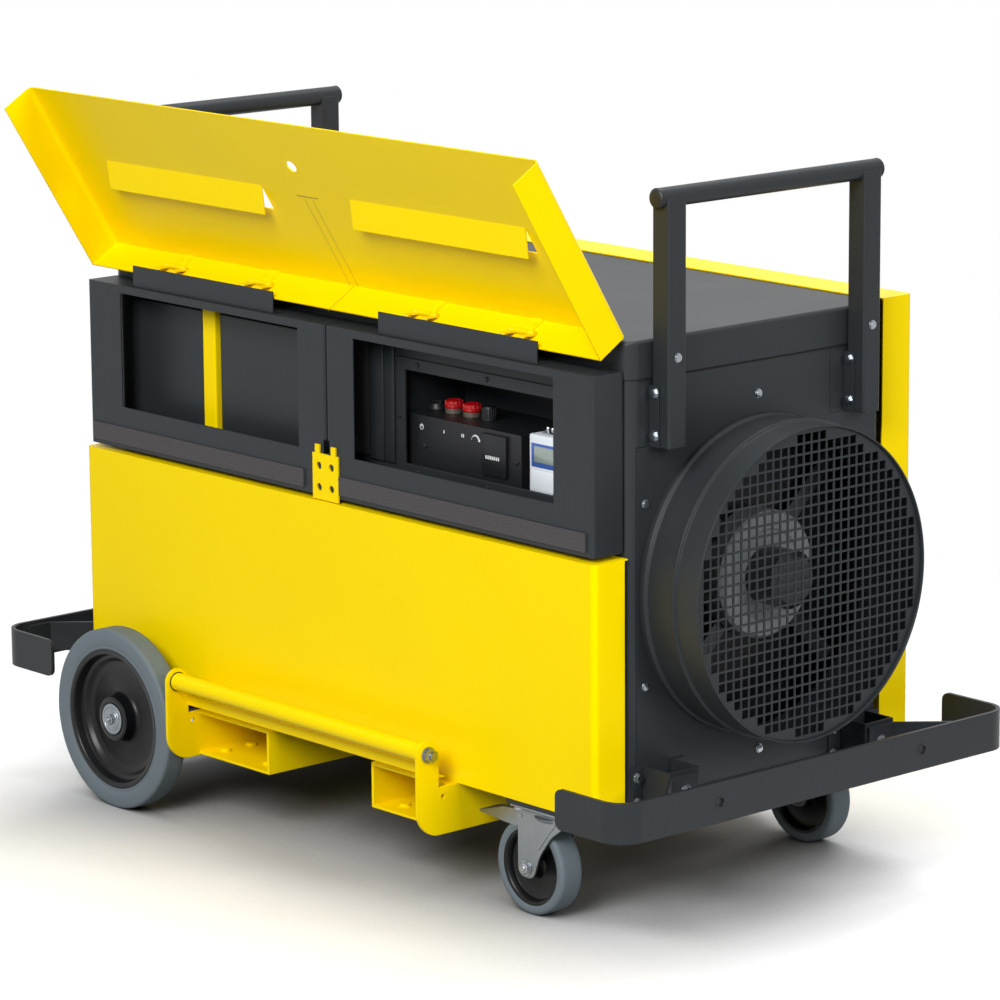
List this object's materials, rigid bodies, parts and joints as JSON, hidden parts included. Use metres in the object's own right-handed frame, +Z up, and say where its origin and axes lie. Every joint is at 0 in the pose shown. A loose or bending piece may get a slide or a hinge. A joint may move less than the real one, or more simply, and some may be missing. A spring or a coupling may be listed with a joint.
{
  "type": "dehumidifier",
  "caption": "Mobile air-treatment cabinet with a hinged lid over its controls, a round grilled outlet, fixed wheels, braked castors, fork pockets, bumpers and push handles.",
  "frame": {"origin": "on the floor under the centre of the body", "axes": "+X along the body towards the round outlet, -Y towards the side with the lid and controls, +Z up"},
  "size_m": [1.427, 0.8447, 1.104],
  "materials": {
    "yellow_coat": "semi-gloss powder coat",
    "dark_coat": "fine-textured satin powder coat",
    "zinc_steel": "zinc plated",
    "tyre_rubber": "matt grey non-marking rubber",
    "strip_rubber": "matt ribbed rubber",
    "black_plastic": "fine matt moulded",
    "lamp_plastic": "satin moulded",
    "lens_red": "clear glossy",
    "meter_plastic": "satin moulded",
    "bare_aluminium": "mill finish",
    "machine_coat": "gloss black enamel",
    "filter_cloth": "pleated cloth"
  },
  "bodies": {
    "frame": {"lower_cover": "yellow_coat", "far_cover": "yellow_coat", "latch_plate": "yellow_coat", "door_post": "yellow_coat", "fork_pockets": "yellow_coat", "base_pan": "dark_coat", "body_shell": "dark_coat", "outlet_panel": "dark_coat", "inlet_panel": "dark_coat", "top_cover": "dark_coat", "left_window_frame": "dark_coat", "right_window_frame": "dark_coat", "hinge_brackets": "dark_coat", "filter_doors": "dark_coat", "control_frame": "dark_coat", "control_recess": "dark_coat", "outlet_duct": "dark_coat", "outlet_grille": "dark_coat", "outlet_end_handle": "dark_coat", "inlet_end_handle": "dark_coat", "handle_tabs": "dark_coat", "outlet_end_bumper": "dark_coat", "inlet_end_bumper": "dark_coat", "bumper_brackets": "dark_coat", "fan_bulkhead": "dark_coat", "hinge_pins": "zinc_steel", "axle_caps": "zinc_steel", "rear_axle": "zinc_steel", "roller_shaft": "zinc_steel", "castor_plates": "zinc_steel", "fasteners": "zinc_steel", "drip_tray": "zinc_steel", "edge_strips": "strip_rubber", "control_box": "black_plastic", "lamp_bases": "lamp_plastic", "lamp_lenses": "lens_red", "energy_meter": "meter_plastic", "evaporator": "bare_aluminium", "condenser": "bare_aluminium", "compressor": "machine_coat", "fan_motor": "machine_coat", "filter_cassettes": "filter_cloth"},
    "lid_body": {"lid": "yellow_coat", "lid_hinge_leaves": "yellow_coat"},
    "near_rear_wheel": {"near_wheel_tyre": "tyre_rubber", "near_wheel_rim": "black_plastic"},
    "far_rear_wheel": {"far_wheel_tyre": "tyre_rubber", "far_wheel_rim": "black_plastic"},
    "roller": {"roller_tube": "yellow_coat"},
    "near_castor": {"near_castor_fork": "zinc_steel"},
    "far_castor": {"far_castor_fork": "zinc_steel"},
    "near_castor_wheel": {"near_castor_tyre": "tyre_rubber", "near_castor_rim": "black_plastic"},
    "far_castor_wheel": {"far_castor_tyre": "tyre_rubber", "far_castor_rim": "black_plastic"},
    "near_brake_pedal": {"near_castor_pedal": "zinc_steel"},
    "far_brake_pedal": {"far_castor_pedal": "zinc_steel"},
    "switch": {"main_switch": "black_plastic"},
    "knob": {"speed_knob": "black_plastic"},
    "fan": {"fan_impeller": "bare_aluminium"}
  },
  "joints": [
    {"name": "lid_hinge", "type": "hinge", "parent": "frame", "child": "lid_body", "pos_m": [0, -0.28, 0.836], "axis": [1, 0, 0], "range_deg": [0, 148.3]},
    {"name": "near_rear_wheel_spin", "type": "hinge", "parent": "frame", "child": "near_rear_wheel", "pos_m": [-0.434, -0.367, 0.14], "axis": [0, 1, 0], "continuous": true},
    {"name": "far_rear_wheel_spin", "type": "hinge", "parent": "frame", "child": "far_rear_wheel", "pos_m": [-0.434, 0.367, 0.14], "axis": [0, 1, 0], "continuous": true},
    {"name": "roller_spin", "type": "hinge", "parent": "frame", "child": "roller", "pos_m": [0, -0.37, 0.224], "axis": [1, 0, 0], "continuous": true},
    {"name": "near_castor_swivel", "type": "hinge", "parent": "frame", "child": "near_castor", "pos_m": [0.458, -0.271, 0.154], "axis": [0, 0, 1], "continuous": true},
    {"name": "near_castor_wheel_spin", "type": "hinge", "parent": "near_castor", "child": "near_castor_wheel", "pos_m": [0.418, -0.271, 0.07], "axis": [0, 1, 0], "continuous": true},
    {"name": "near_brake_press", "type": "hinge", "parent": "near_castor", "child": "near_brake_pedal", "pos_m": [0.408, -0.271, 0.1452], "axis": [0, -1, 0], "range_deg": [0, 12]},
    {"name": "far_castor_swivel", "type": "hinge", "parent": "frame", "child": "far_castor", "pos_m": [0.458, 0.271, 0.154], "axis": [0, 0, 1], "continuous": true},
    {"name": "far_castor_wheel_spin", "type": "hinge", "parent": "far_castor", "child": "far_castor_wheel", "pos_m": [0.418, 0.271, 0.07], "axis": [0, 1, 0], "continuous": true},
    {"name": "far_brake_press", "type": "hinge", "parent": "far_castor", "child": "far_brake_pedal", "pos_m": [0.408, 0.271, 0.1452], "axis": [0, -1, 0], "range_deg": [0, 12]},
    {"name": "main_switch_turn", "type": "hinge", "parent": "frame", "child": "switch", "pos_m": [0.112, -0.19, 0.674], "axis": [0, 0, -1], "range_deg": [0, 90]},
    {"name": "speed_knob_turn", "type": "hinge", "parent": "frame", "child": "knob", "pos_m": [0.225, -0.19, 0.674], "axis": [0, 0, -1], "range_deg": [0, 270]},
    {"name": "fan_spin", "type": "hinge", "parent": "frame", "child": "fan", "pos_m": [0.53, 0, 0.48], "axis": [1, 0, 0], "continuous": true}
  ]
}
